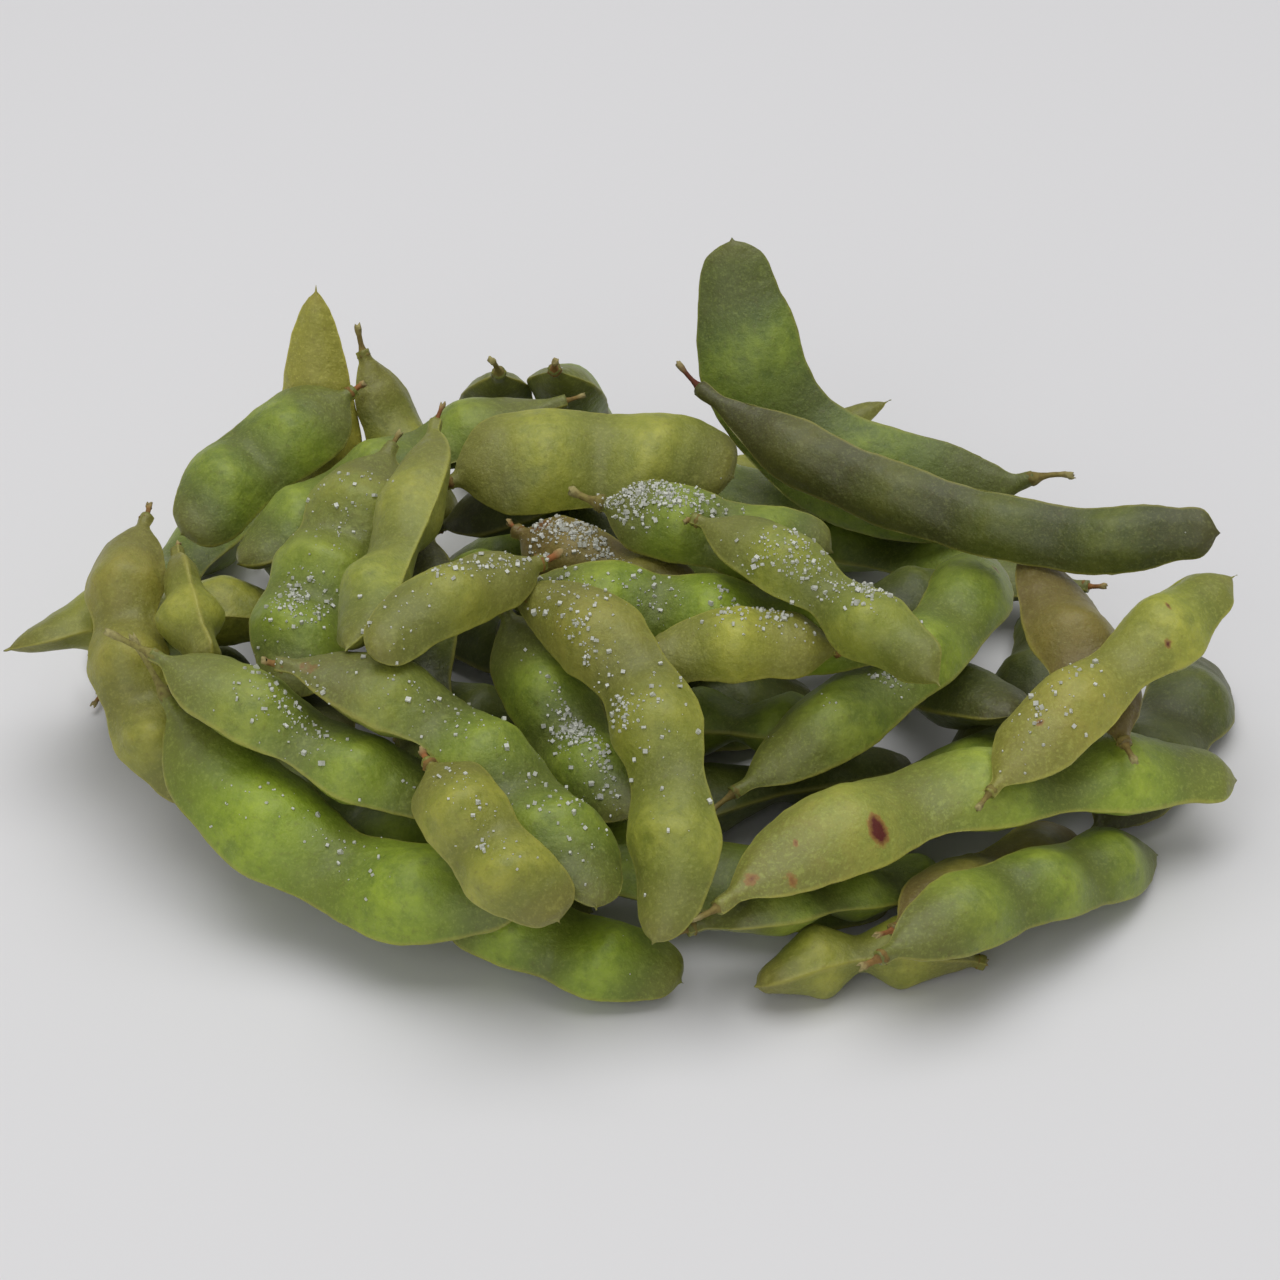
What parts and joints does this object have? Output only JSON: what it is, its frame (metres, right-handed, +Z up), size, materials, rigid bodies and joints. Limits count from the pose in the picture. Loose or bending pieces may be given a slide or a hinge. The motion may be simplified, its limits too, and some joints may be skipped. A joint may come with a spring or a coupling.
{
  "type": "edamame pod bundle",
  "caption": "A heaped bundle of boiled soya bean pods, curved and straight, lying over one another with their stalks on, lightly salted.",
  "frame": {"origin": "centre of the bundle's footprint, at the height of the surface it lies on", "axes": "+Z up, +X along the bundle's longest extent, -Y towards its front, the low side with the two large curved pods"},
  "size_m": [0.1706, 0.1364, 0.0488],
  "materials": {
    "pod_bright": "satin",
    "pod_green": "satin",
    "pod_deep": "satin",
    "pod_olive": "satin",
    "pod_brown": "satin",
    "stalk": "matte",
    "salt": "satin"
  },
  "bodies": {
    "root": {"spire_left": "pod_olive", "spire_left_stem": "pod_olive", "base_left": "pod_deep", "base_left_back": "pod_green", "base_front_left": "pod_green", "base_centre": "pod_deep", "base_front": "pod_green", "base_back_middle": "pod_green", "base_right": "pod_deep", "base_right_back": "pod_green", "low_right_deep": "pod_deep", "base_front_right": "pod_green", "low_left_shadow": "pod_deep", "low_left_tip": "pod_olive", "low_front_bright": "pod_bright", "low_front_neck": "pod_olive", "low_front_inner": "pod_green", "low_front_brown": "pod_brown", "low_front_outer": "pod_green", "back_olive_tip": "pod_olive", "low_back_right": "pod_green", "front_right_smooth": "pod_green", "hollow_front": "pod_green", "hollow_centre": "pod_deep", "hollow_right": "pod_deep", "core_left": "pod_deep", "core_right": "pod_deep", "core_front": "pod_deep", "core_middle": "pod_deep", "crest_behind": "pod_deep", "crest_stem_left": "pod_green", "crest_stem_right": "pod_green", "leaf_pod": "pod_green", "core_back_left": "pod_deep", "left_smooth": "pod_green", "back_long_green": "pod_green", "hollow_salted": "pod_green", "left_knobbly": "pod_olive", "left_folded": "pod_olive", "tucked_green": "pod_green", "tucked_dark": "pod_deep", "mottled_left": "pod_green", "big_yellow_green": "pod_olive", "front_left_smooth": "pod_bright", "front_left_mottled": "pod_green", "middle_brown": "pod_brown", "middle_salted": "pod_green", "behind_rise": "pod_brown", "front_hollow_rise": "pod_green", "middle_long_bright": "pod_bright", "orange_stub": "pod_olive", "between_crescents": "pod_green", "mottled_crescent": "pod_green", "big_crescent": "pod_olive", "front_small_olive": "pod_olive", "left_stub": "pod_olive", "slim_upright": "pod_olive", "twisted_olive": "pod_olive", "long_dark": "pod_deep", "right_mottled": "pod_olive"}
  },
  "joints": []
}
